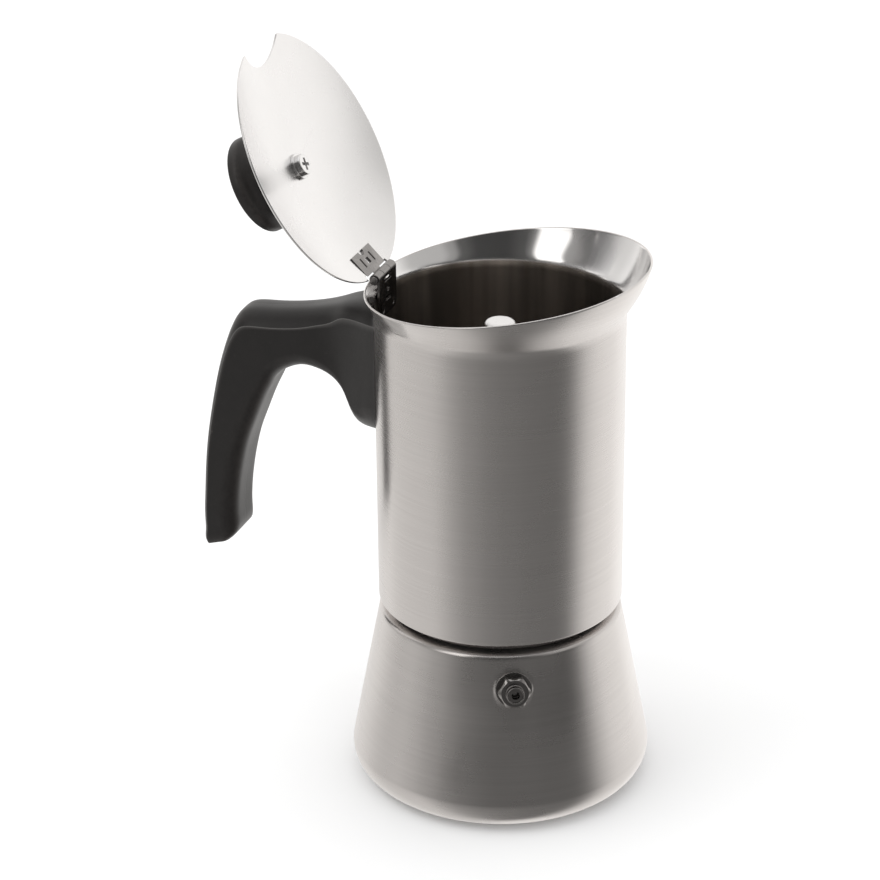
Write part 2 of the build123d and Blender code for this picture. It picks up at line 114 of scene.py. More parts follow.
# ---- surfaces -------------------------------------------------------------------------------
def rounded(corners, radii, steps=7, support=0.35):
    """Profile with rounded corners: at each corner an arc tangent to both sides, whose centre
    lies on the bisector at radius / sin(half the corner's angle), and two support points on
    each straight run. Ends stay where they are."""
    p = np.asarray(corners, float)
    radius = np.asarray(radii, float)[1:-1, None]
    before = p[:-2] - p[1:-1]
    after = p[2:] - p[1:-1]
    before /= np.linalg.norm(before, axis=1, keepdims=True)
    after /= np.linalg.norm(after, axis=1, keepdims=True)
    half = np.arccos(np.clip((before * after).sum(1), -1, 1))[:, None] / 2
    half = np.clip(half, 1e-3, math.pi / 2 - 1e-4)
    bisector = before + after
    bisector /= np.maximum(np.linalg.norm(bisector, axis=1, keepdims=True), 1e-9)
    centre = p[1:-1] + bisector * radius / np.sin(half)
    start = p[1:-1] + before * radius / np.tan(half) - centre
    end = p[1:-1] + after * radius / np.tan(half) - centre
    turn = np.linspace(0, 1, steps)[None, :, None]
    sweep = (math.pi - 2 * half)[:, :, None]
    weight = np.maximum(np.sin(sweep), 1e-9)
    arcs = (start[:, None] * np.sin((1 - turn) * sweep) + end[:, None] * np.sin(turn * sweep))
    arcs = arcs / weight + centre[:, None]
    leave = np.vstack([p[:1], arcs[:, -1]])
    reach = np.vstack([arcs[:, 0], p[-1:]])
    run = reach - leave
    size = np.maximum(np.linalg.norm(run, axis=1, keepdims=True), 1e-9)
    step = np.minimum(support, size / 4) * run / size
    runs = np.stack([leave + step, reach - step], axis=1)
    inner = np.concatenate([runs[:-1], arcs], axis=1).reshape(-1, p.shape[1])
    return np.vstack([p[:1], inner, runs[-1], p[-1:]])


def through(points, count):
    """Smooth curve through the points: natural cubic pieces whose second derivatives solve the
    usual tridiagonal system, with chord length as the parameter."""
    p = np.asarray(points, float)
    knots = np.concatenate([[0], np.cumsum(np.linalg.norm(np.diff(p, axis=0), axis=1))])
    return through_at(knots, p, np.linspace(0, knots[-1], count))


def through_at(knots, values, where):
    """Natural cubic spline of values over knots, read at the given places."""
    knots = np.asarray(knots, float)
    p = np.asarray(values, float).reshape(len(knots), -1)
    n = len(knots)
    gap = np.diff(knots)
    system = np.eye(n)
    inner = np.arange(1, n - 1)
    system[inner, inner - 1] = gap[:-1]
    system[inner, inner] = 2 * (gap[:-1] + gap[1:])
    system[inner, inner + 1] = gap[1:]
    right = np.zeros_like(p)
    slope = np.diff(p, axis=0) / gap[:, None]
    right[1:-1] = 6 * np.diff(slope, axis=0)
    bend = np.linalg.solve(system, right)
    i = np.clip(np.searchsorted(knots, where, side="right") - 1, 0, n - 2)
    h = gap[i][:, None]
    a = (knots[i + 1] - where)[:, None]
    b = (where - knots[i])[:, None]
    curve = (bend[i] * a ** 3 + bend[i + 1] * b ** 3) / (6 * h)
    curve += (p[i] / h - bend[i] * h / 6) * a + (p[i + 1] / h - bend[i + 1] * h / 6) * b
    return curve


def smooth_step(low, high, value):
    t = np.clip((value - low) / (high - low), 0, 1)
    return t * t * (3 - 2 * t)


def revolved(profile, angles):
    """Grid of a profile turned about Z: x = r cos(angle), y = r sin(angle), z as in the profile.
    Rows follow the profile and columns the angle."""
    r = profile[:, 0][:, None]
    z = profile[:, 1][:, None] + 0 * angles[None]
    return np.stack([r * np.cos(angles), r * np.sin(angles), z], axis=-1)


def turned(matrix, grid):
    """The grid carried by a 4 x 4 matrix."""
    return grid @ matrix[:3, :3].T + matrix[:3, 3]


def turn_y(angle):
    c, s = math.cos(angle), math.sin(angle)
    return np.array([[c, 0, s, 0], [0, 1, 0, 0], [-s, 0, c, 0], [0, 0, 0, 1.0]])


def turn_z(angle):
    c, s = math.cos(angle), math.sin(angle)
    return np.array([[c, -s, 0, 0], [s, c, 0, 0], [0, 0, 1, 0], [0, 0, 0, 1.0]])


def shift(x, y, z):
    matrix = np.eye(4)
    matrix[:3, 3] = (x, y, z)
    return matrix


def piece(name, grid, body, material, rows_closed=False, sharp=40, replaces=()):
    """Makes a mesh of a grid given in millimetres, its columns closed and its rows closed if
    asked: quads between neighbours, doubles merged, normals recalculated outwards. Its UV map
    runs round the columns and along the rows."""
    rows, cols = grid.shape[:2]
    index = np.arange(rows * cols).reshape(rows, cols)
    index = np.hstack([index, index[:, :1]])
    if rows_closed:
        index = np.vstack([index, index[:1]])
    quads = np.stack([index[:-1, :-1], index[:-1, 1:], index[1:, 1:], index[1:, :-1]], axis=-1)
    mesh = bpy.data.meshes.new(name)
    mesh.from_pydata((grid.reshape(-1, 3) * MM).tolist(), [], quads.reshape(-1, 4).tolist())
    high, wide = quads.shape[:2]
    u = (np.arange(wide)[None, :, None] + np.array([0, 1, 1, 0])) / wide
    v = (np.arange(high)[:, None, None] + np.array([0, 0, 1, 1])) / high
    uv = np.stack(np.broadcast_arrays(u, v), axis=-1)
    mesh.uv_layers.new(name="round_and_along").data.foreach_set("uv", uv.astype(np.float32).ravel())
    work = bmesh.new()
    work.from_mesh(mesh)
    bmesh.ops.remove_doubles(work, verts=work.verts, dist=2e-6)
    bmesh.ops.recalc_face_normals(work, faces=work.faces)
    work.to_mesh(mesh)
    work.free()
    return shown(name, mesh, body, material, sharp, replaces)


def shown(name, mesh, body, material, sharp, replaces):
    mesh.shade_smooth()
    mesh.set_sharp_from_angle(angle=math.radians(sharp))
    mesh.materials.clear()
    mesh.materials.append(material)
    made = bpy.data.objects.new(name, mesh)
    bpy.context.scene.collection.objects.link(made)
    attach(made, body)
    if replaces:
        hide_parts(*replaces)
    return made


def softened(node, name, body, material, width=0.25, segments=2):
    """A merged copy of a CAD node whose flat faces are joined and whose edges are rounded by a
    bevel, because a real edge is never perfectly sharp."""
    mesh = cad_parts[node].data.copy()
    work = bmesh.new()
    work.from_mesh(mesh)
    bmesh.ops.remove_doubles(work, verts=work.verts, dist=1e-6)
    bmesh.ops.dissolve_limit(work, angle_limit=math.radians(1), verts=work.verts, edges=work.edges)
    work.to_mesh(mesh)
    work.free()
    mesh.name = name
    made = shown(name, mesh, body, material, 30, (node,))
    bevel = made.modifiers.new("rounded_edges", "BEVEL")
    bevel.width = width * MM
    bevel.segments = segments
    bevel.limit_method = "ANGLE"
    bevel.angle_limit = math.radians(38)
    bevel.harden_normals = True
    return made


# ---- places shared by several pieces --------------------------------------------------------
FOOT_ROUND = 8.7
RIM_SLOPE = 0.1265
VALVE_HEIGHT = 51.5
PIN = (-41.4, 179.0)
PIN_BELOW_LID = 1.07
NECK_RADIUS, NECK_WALL, NECK_TOP = 32.0, 1.4, 74
THREAD_CREST, THREAD_START, THREAD_TURNS, THREAD_LEAD = 33.0, 65.6, 2.1, 3.0
SKIRT_RADIUS = 38.0


def boiler_lean():
    s = sizes()
    rise = s.shoulder_height / MM - FOOT_ROUND
    return math.atan2((s.base_radius - s.shoulder_radius) / MM, rise)


def boiler_radius(z):
    return sizes().base_radius / MM + math.tan(boiler_lean()) * (FOOT_ROUND - z)


def on_wall():
    """Valve's place: origin on the boiler's wall, Z along the outward normal."""
    place = turn_z(sizes().valve_angle) @ shift(boiler_radius(VALVE_HEIGHT), 0, VALVE_HEIGHT)
    return place @ turn_y(math.pi / 2 - boiler_lean())


def in_lid():
    """Lid's place: origin in the middle of its edge plane, X away from the hinge, Z outwards."""
    s = sizes()
    along = s.lid_radius / MM - 0.1
    c, sn = math.cos(s.lid_open), math.sin(s.lid_open)
    x = PIN[0] + along * c - PIN_BELOW_LID * sn
    z = PIN[1] + along * sn + PIN_BELOW_LID * c
    return shift(x, 0, z) @ turn_y(-s.lid_open)


def flare_radius(z):
    """Radius of the collector's outside: the straight wall, then slope * e - curve * e * e,
    where e is a soft version of the height above the start of the flare."""
    above = z - sizes().flare_start / MM
    soft = 1.2
    rise = (above + np.hypot(above, soft)) / 2
    fade = smooth_step(-2.5 * soft, -0.5 * soft, above)
    return sizes().wall_radius / MM + fade * (0.75 * rise - 0.0148 * rise * rise)


# ---- shader groups and finishes -------------------------------------------------------------
def add(tree, kind, inputs=None, **settings):
    made = tree.nodes.new("ShaderNode" + kind)
    for key, value in settings.items():
        setattr(made, key, value)
    for key, value in (inputs or {}).items():
        socket = made.inputs[key]
        if isinstance(value, bpy.types.NodeSocket):
            tree.links.new(value, socket)
        else:
            socket.default_value = value
    return made


def calc(tree, operation, a, b=0.0, c=0.0, clamp=False):
    return add(tree, "Math", {0: a, 1: b, 2: c}, operation=operation, use_clamp=clamp).outputs[0]


def ranged(tree, value, low, high, out_low, out_high):
    made = add(tree, "MapRange", {"Value": value, "From Min": low, "From Max": high,
                                  "To Min": out_low, "To Max": out_high})
    made.interpolation_type = "SMOOTHSTEP"
    return made.outputs["Result"]


def group(name, inputs, outputs):
    """Empty shader group with named float or colour sockets."""
    made = bpy.data.node_groups.new(name, "ShaderNodeTree")
    for label, kind, value in inputs:
        socket = made.interface.new_socket(name=label, in_out="INPUT", socket_type=kind)
        socket.default_value = value
    for label, kind in outputs:
        made.interface.new_socket(name=label, in_out="OUTPUT", socket_type=kind)
    return made, made.nodes.new("NodeGroupInput").outputs, made.nodes.new("NodeGroupOutput").inputs


FINE_STREAKS = (24, 24, 2800)       # repeats per metre of the brush's streaks, round the pot
WIDE_STREAKS = (9, 9, 900)
UPRIGHT_STREAKS = (2600, 2600, 22)  # drawn inside walls, marked up and down
UPRIGHT_BANDS = (420, 420, 6)
EVEN_FINE = (900, 900, 900)         # small turned parts, with no clear direction
EVEN_WIDE = (160, 160, 160)
BRUSH_STRETCH = 0.7


def brushed_grain_group():
    """Fine streaks left by the brush: noise read on a position squeezed across the grain, in a
    fine and a coarse layer, with a slow mottle."""
    tree, given, out = group(
        "Brushed grain",
        [("Across", "NodeSocketVector", FINE_STREAKS),
         ("Coarse", "NodeSocketVector", WIDE_STREAKS)],
        [(name, "NodeSocketFloat") for name in ("Streaks", "Bands", "Mottle")])
    place = add(tree, "TexCoord").outputs["Object"]
    fine = add(tree, "VectorMath", {0: place, 1: given["Across"]}, operation="MULTIPLY").outputs[0]
    wide = add(tree, "VectorMath", {0: place, 1: given["Coarse"]}, operation="MULTIPLY").outputs[0]
    streaks = add(tree, "TexNoise", {"Vector": fine, "Scale": 1.0, "Detail": 3.0, "Roughness": 0.6})
    bands = add(tree, "TexNoise", {"Vector": wide, "Scale": 1.0, "Detail": 4.0, "Roughness": 0.65})
    slow = add(tree, "TexNoise", {"Vector": place, "Scale": 34.0, "Detail": 3.0})
    tree.links.new(streaks.outputs["Fac"], out["Streaks"])
    tree.links.new(bands.outputs["Fac"], out["Bands"])
    tree.links.new(slow.outputs["Fac"], out["Mottle"])
    return tree


def edge_wear_group():
    """Mask of rubbed edges: how convex the surface is, broken up by noise."""
    tree, given, out = group("Edge wear", [("Low", "NodeSocketFloat", 0.51),
                                           ("High", "NodeSocketFloat", 0.60),
                                           ("Scale", "NodeSocketFloat", 900.0)],
                             [("Worn", "NodeSocketFloat")])
    convex = add(tree, "NewGeometry").outputs["Pointiness"]
    place = add(tree, "TexCoord").outputs["Object"]
    chips = add(tree, "TexNoise", {"Vector": place, "Scale": given["Scale"], "Detail": 4.0})
    rim = add(tree, "MapRange", {"Value": convex, "From Min": given["Low"],
                                 "From Max": given["High"]}).outputs["Result"]
    broken = ranged(tree, chips.outputs["Fac"], 0.32, 0.62, 0.35, 1.0)
    tree.links.new(calc(tree, "MULTIPLY", rim, broken, clamp=True), out["Worn"])
    return tree


def handling_group():
    """Marks of use: cloudy smears and a few fine specks of dust."""
    tree, given, out = group("Handling marks", [("Smear scale", "NodeSocketFloat", 40.0),
                                                ("Speck scale", "NodeSocketFloat", 1400.0)],
                             [("Smears", "NodeSocketFloat"), ("Specks", "NodeSocketFloat")])
    place = add(tree, "TexCoord").outputs["Object"]
    cloud = add(tree, "TexNoise", {"Vector": place, "Scale": given["Smear scale"], "Detail": 5.0,
                                   "Roughness": 0.45})
    specks = add(tree, "TexNoise", {"Vector": place, "Scale": given["Speck scale"], "Detail": 1.0})
    tree.links.new(ranged(tree, cloud.outputs["Fac"], 0.35, 0.75, 0.0, 1.0), out["Smears"])
    tree.links.new(ranged(tree, specks.outputs["Fac"], 0.70, 0.76, 0.0, 1.0), out["Specks"])
    return tree


def shared_group(name, maker):
    return bpy.data.node_groups.get(name) or maker()


def placed_group(tree, shared, inputs=None):
    made = tree.nodes.new("ShaderNodeGroup")
    made.node_tree = shared
    for key, value in (inputs or {}).items():
        made.inputs[key].default_value = value
    return made.outputs


def grain(tree, across, coarse):
    return placed_group(tree, shared_group("Brushed grain", brushed_grain_group),
                        {"Across": across, "Coarse": coarse})


def wear(tree, low=0.51, high=0.60, scale=900.0):
    return placed_group(tree, shared_group("Edge wear", edge_wear_group),
                        {"Low": low, "High": high, "Scale": scale})["Worn"]


def marks(tree, smear=40.0, speck=1400.0):
    return placed_group(tree, shared_group("Handling marks", handling_group),
                        {"Smear scale": smear, "Speck scale": speck})


def made_once(maker):
    """A finish is made the first time its name is asked for, and shared after that."""
    def shared(name, *values, **settings):
        return bpy.data.materials.get(name) or maker(name, *values, **settings)
    return shared


def blank(name):
    made = bpy.data.materials.new(name)
    made.use_nodes = True
    tree = made.node_tree
    return made, tree, tree.nodes["Principled BSDF"]


def summed(tree, level, *parts):
    """Level plus each mask times its amount."""
    for mask, amount in parts:
        level = calc(tree, "MULTIPLY_ADD", mask, amount, level)
    return level


def mixed(tree, factor, first, second):
    """Colour between two, each a socket or three numbers."""
    mix = add(tree, "Mix", {"Factor": factor}, data_type="RGBA")
    for socket, value in ((mix.inputs[6], first), (mix.inputs[7], second)):
        if isinstance(value, bpy.types.NodeSocket):
            tree.links.new(value, socket)
        else:
            socket.default_value = (*value, 1)
    return mix.outputs[2]


def round_and_along(tree):
    """The two parts of a new piece's own UV map: round its columns and along its rows."""
    place = add(tree, "UVMap", uv_map="round_and_along").outputs[0]
    return add(tree, "SeparateXYZ", {0: place}).outputs


def brushed_round(tree, shader, stretch):
    """Stretches the highlight across streaks that run round the piece."""
    shader.inputs["Anisotropic"].default_value = stretch
    shader.inputs["Anisotropic Rotation"].default_value = 0.25
    way = add(tree, "Tangent", direction_type="UV_MAP", uv_map="round_and_along")
    tree.links.new(way.outputs["Tangent"], shader.inputs["Tangent"])


def shaded(colour, amount):
    return tuple(min(1.0, part * amount) for part in colour)


def bumped(tree, shader, height, strength, distance):
    bump = add(tree, "Bump", {"Height": height, "Strength": strength, "Distance": distance})
    tree.links.new(bump.outputs["Normal"], shader.inputs["Normal"])


@made_once
def steel(name, colour, rough, across=FINE_STREAKS, coarse=WIDE_STREAKS, stretch=0.0,
          spread=0.05, depth=0.009, streak_light=0.035):
    """Brushed or satin steel: streaks change the colour, roughness and height a little, smears
    dull it, and rubbed edges are brighter and smoother."""
    made, tree, shader = blank(name)
    lines = grain(tree, across, coarse)
    used = marks(tree)
    worn = wear(tree)
    both = summed(tree, 0.0, (lines["Streaks"], 0.55), (lines["Bands"], 0.45))
    light = ranged(tree, both, 0.30, 0.70, 0.0, 1.0)
    base = mixed(tree, light, shaded(colour, 1 - streak_light), shaded(colour, 1 + streak_light))
    rubbed = mixed(tree, worn, base, shaded(colour, 1.28))
    tree.links.new(rubbed, shader.inputs["Base Color"])
    uneven = ranged(tree, lines["Mottle"], 0.35, 0.65, -0.02, 0.02)
    level = summed(tree, rough - spread / 2, (both, spread), (uneven, 1.0),
                   (used["Smears"], 0.035), (worn, -0.08))
    tree.links.new(level, shader.inputs["Roughness"])
    shader.inputs["Metallic"].default_value = 1.0
    if stretch:
        brushed_round(tree, shader, stretch)
    bumped(tree, shader, both, depth, 0.00006)
    return made


@made_once
def polished(name, colour, rough=0.07, haze=0.10, across=(600, 600, 600)):
    """Polished steel: clear reflections with hairlines, wiping smears and specks."""
    made, tree, shader = blank(name)
    lines = grain(tree, across, (60, 60, 60))
    used = marks(tree, 26.0, 1100.0)
    worn = wear(tree)
    base = mixed(tree, lines["Bands"], shaded(colour, 0.96), shaded(colour, 1.03))
    tree.links.new(base, shader.inputs["Base Color"])
    level = summed(tree, rough, (used["Smears"], haze), (lines["Streaks"], 0.03),
                   (used["Specks"], 0.05), (worn, 0.04))
    tree.links.new(level, shader.inputs["Roughness"])
    shader.inputs["Metallic"].default_value = 1.0
    bumped(tree, shader, lines["Mottle"], 0.04, 0.0001)
    return made


def collector_finish(inside_share):
    """Steel of the collector: brushed round on the outside, polished inside the flare, and
    further down inside painted with shade, darker than the steel, and crossed by light upright
    bands that are partly draw marks and partly painted reflections. The first rows of the
    piece's own UV map, up to inside_share, are its inside."""
    name = "brushed_collector_steel"
    f = finishes()
    s = sizes()
    made, tree, shader = blank(name)
    outside = grain(tree, FINE_STREAKS, WIDE_STREAKS)
    inside = grain(tree, UPRIGHT_STREAKS, (36, 36, 2))
    used = marks(tree)
    worn = wear(tree)
    place = add(tree, "TexCoord").outputs["Object"]
    high = add(tree, "SeparateXYZ", {0: place}).outputs[2]
    inside_wall = calc(tree, "LESS_THAN", round_and_along(tree)[1], inside_share)
    turn = s.flare_start
    flared = ranged(tree, high, turn - 0.0008, turn + 0.0006, 0.0, 1.0)
    flared = calc(tree, "MULTIPLY", flared, inside_wall)
    inner = calc(tree, "SUBTRACT", inside_wall, flared)
    outer_lines = summed(tree, 0.0, (outside["Streaks"], 0.55), (outside["Bands"], 0.45))
    inner_lines = summed(tree, 0.0, (inside["Streaks"], 0.4), (inside["Bands"], 0.6))
    lines = add(tree, "Mix", {0: inner, 2: outer_lines, 3: inner_lines},
                data_type="FLOAT").outputs[0]
    light = ranged(tree, lines, 0.30, 0.70, 0.0, 1.0)
    base = mixed(tree, light, shaded(f.steel, 0.965), shaded(f.steel, 1.035))
    # Inside below the flare: painted shade, darker than the steel, crossed by light upright bands
    # that are partly draw marks and partly painted reflections.
    painted_shade_and_bands = mixed(tree, ranged(tree, inside["Bands"], 0.42, 0.72, 0.0, 1.0),
                   shaded(f.stain_and_shade, 0.8), shaded(f.stain_and_shade, 1.8))
    stain_and_shade = mixed(tree, inner, base, painted_shade_and_bands)
    mirror = mixed(tree, flared, stain_and_shade, tuple(f.bright))
    rubbed = mixed(tree, worn, mirror, shaded(f.bright, 1.05))
    tree.links.new(rubbed, shader.inputs["Base Color"])
    level = summed(tree, f.brushed_rough - 0.03, (lines, 0.06), (used["Smears"], 0.035),
                   (inner, 0.02))
    shine = summed(tree, 0.10, (used["Smears"], 0.05))
    rough = add(tree, "Mix", {0: flared, 2: level, 3: shine}, data_type="FLOAT").outputs[0]
    tree.links.new(rough, shader.inputs["Roughness"])
    shader.inputs["Metallic"].default_value = 1.0
    brushed_round(tree, shader, BRUSH_STRETCH)
    height = calc(tree, "MULTIPLY", lines, calc(tree, "SUBTRACT", 1.0, flared))
    bumped(tree, shader, height, 0.009, 0.00006)
    return made


CREASE_MIDDLE = 0.683               # share round the grip halfway between its two creases
CREASE_ASIDE = 0.2865               # and from there to either crease
# Colour of the painted highlight along the grip's creases.
PAINTED_CREASE_HIGHLIGHT = (0.085, 0.081, 0.078)
DUST = (0.16, 0.15, 0.14)


@made_once
def moulded(name, colour, rough, seam=False):
    """Moulded black plastic: fine spark grain, cloudy gloss, rubbed edges lightened partly as a
    painted highlight, specks of dust, and on the grip a thin mould line along its middle and a
    painted highlight along its creases."""
    made, tree, shader = blank(name)
    place = add(tree, "TexCoord").outputs["Object"]
    used = marks(tree, 55.0, 900.0)
    worn = wear(tree, 0.505, 0.56, 700.0)
    pits = add(tree, "TexNoise", {"Vector": place, "Scale": 2600.0, "Detail": 2.0}).outputs["Fac"]
    waves = add(tree, "TexNoise", {"Vector": place, "Scale": 260.0, "Detail": 3.0}).outputs["Fac"]
    base = mixed(tree, waves, shaded(colour, 0.8), shaded(colour, 1.25))
    dusty = mixed(tree, calc(tree, "MULTIPLY", used["Specks"], 0.03), base, DUST)
    # Edges rubbed paler by wear, lightened far enough to be partly a painted highlight.
    rubbed = mixed(tree, calc(tree, "MULTIPLY", worn, 0.5), dusty, shaded(colour, 9.0))
    if seam:
        high = add(tree, "SeparateXYZ", {0: place}).outputs
        across = calc(tree, "ABSOLUTE", high[1])
        line = ranged(tree, across, 0.00010, 0.00030, 1.0, 0.0)
        turn = round_and_along(tree)[0]
        aside = calc(tree, "ABSOLUTE", calc(tree, "SUBTRACT", turn, CREASE_MIDDLE))
        aside = calc(tree, "ABSOLUTE", calc(tree, "SUBTRACT", aside, CREASE_ASIDE))
        crease = calc(tree, "MULTIPLY", ranged(tree, aside, 0.024, 0.038, 1.0, 0.0),
                      ranged(tree, high[2], 0.120, 0.155, 0.1, 0.9))
        # Painted highlight along both creases of the grip, stronger higher up.
        crease_highlight = mixed(tree, crease, rubbed, PAINTED_CREASE_HIGHLIGHT)
        rubbed = mixed(tree, calc(tree, "MULTIPLY", line, 0.7), crease_highlight, shaded(colour, 0.25))
    tree.links.new(rubbed, shader.inputs["Base Color"])
    level = summed(tree, rough - 0.03, (used["Smears"], 0.06), (pits, 0.08), (worn, -0.08))
    tree.links.new(level, shader.inputs["Roughness"])
    shader.inputs["Specular IOR Level"].default_value = 0.42
    height = calc(tree, "MULTIPLY_ADD", waves, 0.25, calc(tree, "MULTIPLY", pits, 0.35))
    if seam:
        height = calc(tree, "MULTIPLY_ADD", line, -0.9, height)
    bumped(tree, shader, height, 0.22, 0.00012)
    return made


@made_once
def soft_seal(name, colour):
    """Food silicone: soft cloudy white with a fine matt grain."""
    made, tree, shader = blank(name)
    place = add(tree, "TexCoord").outputs["Object"]
    used = marks(tree, 80.0, 900.0)
    cloud = add(tree, "TexNoise", {"Vector": place, "Scale": 120.0, "Detail": 4.0}).outputs["Fac"]
    stain_and_shade = calc(tree, "MULTIPLY_ADD", used["Smears"], 0.4, cloud, clamp=True)
    tree.links.new(mixed(tree, stain_and_shade, colour, shaded(colour, 0.82)), shader.inputs["Base Color"])
    tree.links.new(ranged(tree, cloud, 0.3, 0.7, 0.48, 0.6), shader.inputs["Roughness"])
    shader.inputs["Subsurface Weight"].default_value = 0.1
    shader.inputs["Subsurface Radius"].default_value = (0.002, 0.0016, 0.0012)
    bumped(tree, shader, cloud, 0.1, 0.0001)
    return made


# ---- boiler ---------------------------------------------------------------------------------
def boiler_steel():
    f = finishes()
    return steel("brushed_boiler_steel", shaded(f.steel, 0.97), f.brushed_rough,
                 stretch=BRUSH_STRETCH)


def satin_steel():
    return steel("satin_valve_steel", shaded(finishes().steel, 0.5), 0.20,
                 across=EVEN_FINE, coarse=EVEN_WIDE, spread=0.08, depth=0.03)


class MOKA_OT_boiler(bpy.types.Operator):
    """Pressed boiler shell with its rounded foot, flat shoulder, neck and valve pad"""
    bl_idname = "moka.boiler"
    bl_label = "Boiler"

    def wall(self):
        """Closed profile: bottom, rounded foot, leaning wall, rounded shoulder, neck, and the
        same again one sheet further in."""
        t = sizes().sheet / MM
        top = sizes().shoulder_height / MM
        tilt = t / math.cos(boiler_lean())
        neck, bore = NECK_RADIUS, NECK_RADIUS - NECK_WALL
        low, high = boiler_radius(0), boiler_radius(top)
        inner_low = boiler_radius(t) - tilt
        inner_high = boiler_radius(top - t) - tilt
        corners = [(0, 0), (low, 0), (high, top), (neck, top), (neck, NECK_TOP), (bore, NECK_TOP),
                   (bore, top - t), (inner_high, top - t), (inner_low, t), (0, t)]
        radii = [0, FOOT_ROUND, 1.8, 0.5, 0.35, 0.35, 0.5, 1.0, FOOT_ROUND - t, 0]
        return rounded(corners, radii, steps=10)

    def dense(self, profile, longest=1.1):
        """Adds points on the long outer run so that the valve's pad has something to bend."""
        run = np.linalg.norm(np.diff(profile, axis=0), axis=1)
        outer = (profile[:-1, 0] > 40) & (run > 10)
        extra = np.where(outer, np.ceil(run / longest), 1).astype(int)
        place = np.concatenate([[0], np.cumsum(extra)])
        t = np.arange(place[-1] + 1)
        return np.stack([np.interp(t, place, profile[:, k]) for k in (0, 1)], axis=1)

    def pad(self, grid):
        """Presses the wall out to the valve's flat plane: inside the pad's circle each point
        moves along the wall's normal to the plane, with a soft step round it."""
        place = on_wall()
        local = turned(np.linalg.inv(place), grid)
        away = np.hypot(local[..., 0], local[..., 1])
        near = 1 - smooth_step(6.0, 7.0, away)
        near = near * (local[..., 2] > -3) * (grid[..., 2] > 0)
        thick = sizes().sheet / MM
        outer = local[..., 2] > -0.78
        target = np.where(outer, 0.0, -thick)
        local[..., 2] += near * (target - local[..., 2])
        return turned(place, local)

    def execute(self, context):
        t = np.arange(360) / 360
        angles = sizes().valve_angle + 2 * math.pi * t - 0.75 * np.sin(2 * math.pi * t)
        grid = self.pad(revolved(self.dense(self.wall()), angles))
        piece("boiler_body", grid, "boiler", boiler_steel(), sharp=50,
              replaces=("boiler_shell",))
        piece("boiler_thread", thread(NECK_RADIUS, THREAD_CREST, THREAD_START, THREAD_TURNS),
              "boiler", inner_steel(), sharp=30)
        return {"FINISHED"}


def thread(root, crest, start, turns):
    """Rib of tapered section carried along a helix: its height above the root fades to nothing
    over the first and last twelfth of a turn."""
    t = np.linspace(0, 1, int(turns * 96))[:, None]
    angle = 2 * math.pi * turns * t
    fade = smooth_step(0, 0.08 / turns, t) * smooth_step(0, 0.08 / turns, 1 - t)
    section = np.array([(-0.25, -0.65), (0.0, -0.62), (0.92, -0.34), (1.0, -0.24), (1.0, 0.24),
                        (0.92, 0.34), (0.0, 0.62), (-0.25, 0.65)])
    radius = root + (crest - root) * (section[None, :, 0] * fade - 0.2 * (1 - fade))
    height = start + turns * THREAD_LEAD * t + section[None, :, 1] * (0.35 + 0.65 * fade)
    grid = np.stack([radius * np.cos(angle), radius * np.sin(angle), height], axis=-1)
    ends = grid.mean(axis=1, keepdims=True)
    first = np.broadcast_to(ends[:1], grid[:1].shape)
    last = np.broadcast_to(ends[-1:], grid[-1:].shape)
    return np.concatenate([first, grid, last])


def inner_steel():
    return steel("drawn_inner_steel", shaded(finishes().steel, 0.95), 0.34,
                 across=UPRIGHT_STREAKS, coarse=UPRIGHT_BANDS, spread=0.10, depth=0.05)


# ---- valve ----------------------------------------------------------------------------------
class MOKA_OT_valve(bpy.types.Operator):
    """Safety valve: chamfered hexagon, boss with its bore, washer and spring"""
    bl_idname = "moka.valve"
    bl_label = "Safety valve"

    def hexagon(self):
        """Radius = the smaller of the profile's radius and flats / 2 / cos(angle to the nearest
        flat), so the same profile turns from hexagon to round."""
        angles = np.arange(144) * 2 * math.pi / 144 + math.pi / 6
        off = (angles + math.pi / 6) % (math.pi / 3) - math.pi / 6
        flat = 5.0 / np.cos(off)
        corner = 5.0 / math.cos(math.pi / 6)
        flat = flat - 0.16 * smooth_step(corner - 0.25, corner, flat)
        corners = [(0, -4.5), (2.45, -4.5), (2.45, 7.4), (2.95, 7.4), (2.95, 5.0), (4.55, 5.0),
                   (5.9, 4.25), (5.9, 0.8), (4.0, 0.8), (4.0, -7.0), (0, -7.0)]
        radii = [0, 0, 0.18, 0.22, 0.3, 0.12, 0.05, 0.12, 0, 0.2, 0]
        profile = rounded(corners, radii, steps=6, support=0.15)
        grid = revolved(profile, angles)
        away = np.maximum(np.hypot(grid[..., 0], grid[..., 1]), 1e-9)
        grid[..., :2] *= (np.minimum(away, flat[None]) / away)[..., None]
        return grid

    def execute(self, context):
        place = on_wall()
        piece("valve_hexagon", turned(place, self.hexagon()), "boiler",
              satin_steel(), sharp=34, replaces=("valve_body",))
        softened("valve_washer", "valve_ring", "boiler", satin_steel(), 0.18)
        spring = softened("valve_spring", "valve_coil", "boiler",
                          steel("spring_wire_steel", shaded(finishes().steel, 0.85), 0.26,
                                across=EVEN_FINE, coarse=EVEN_WIDE), 0.01, 1)
        spring.modifiers.clear()
        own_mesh(spring)
        return {"FINISHED"}


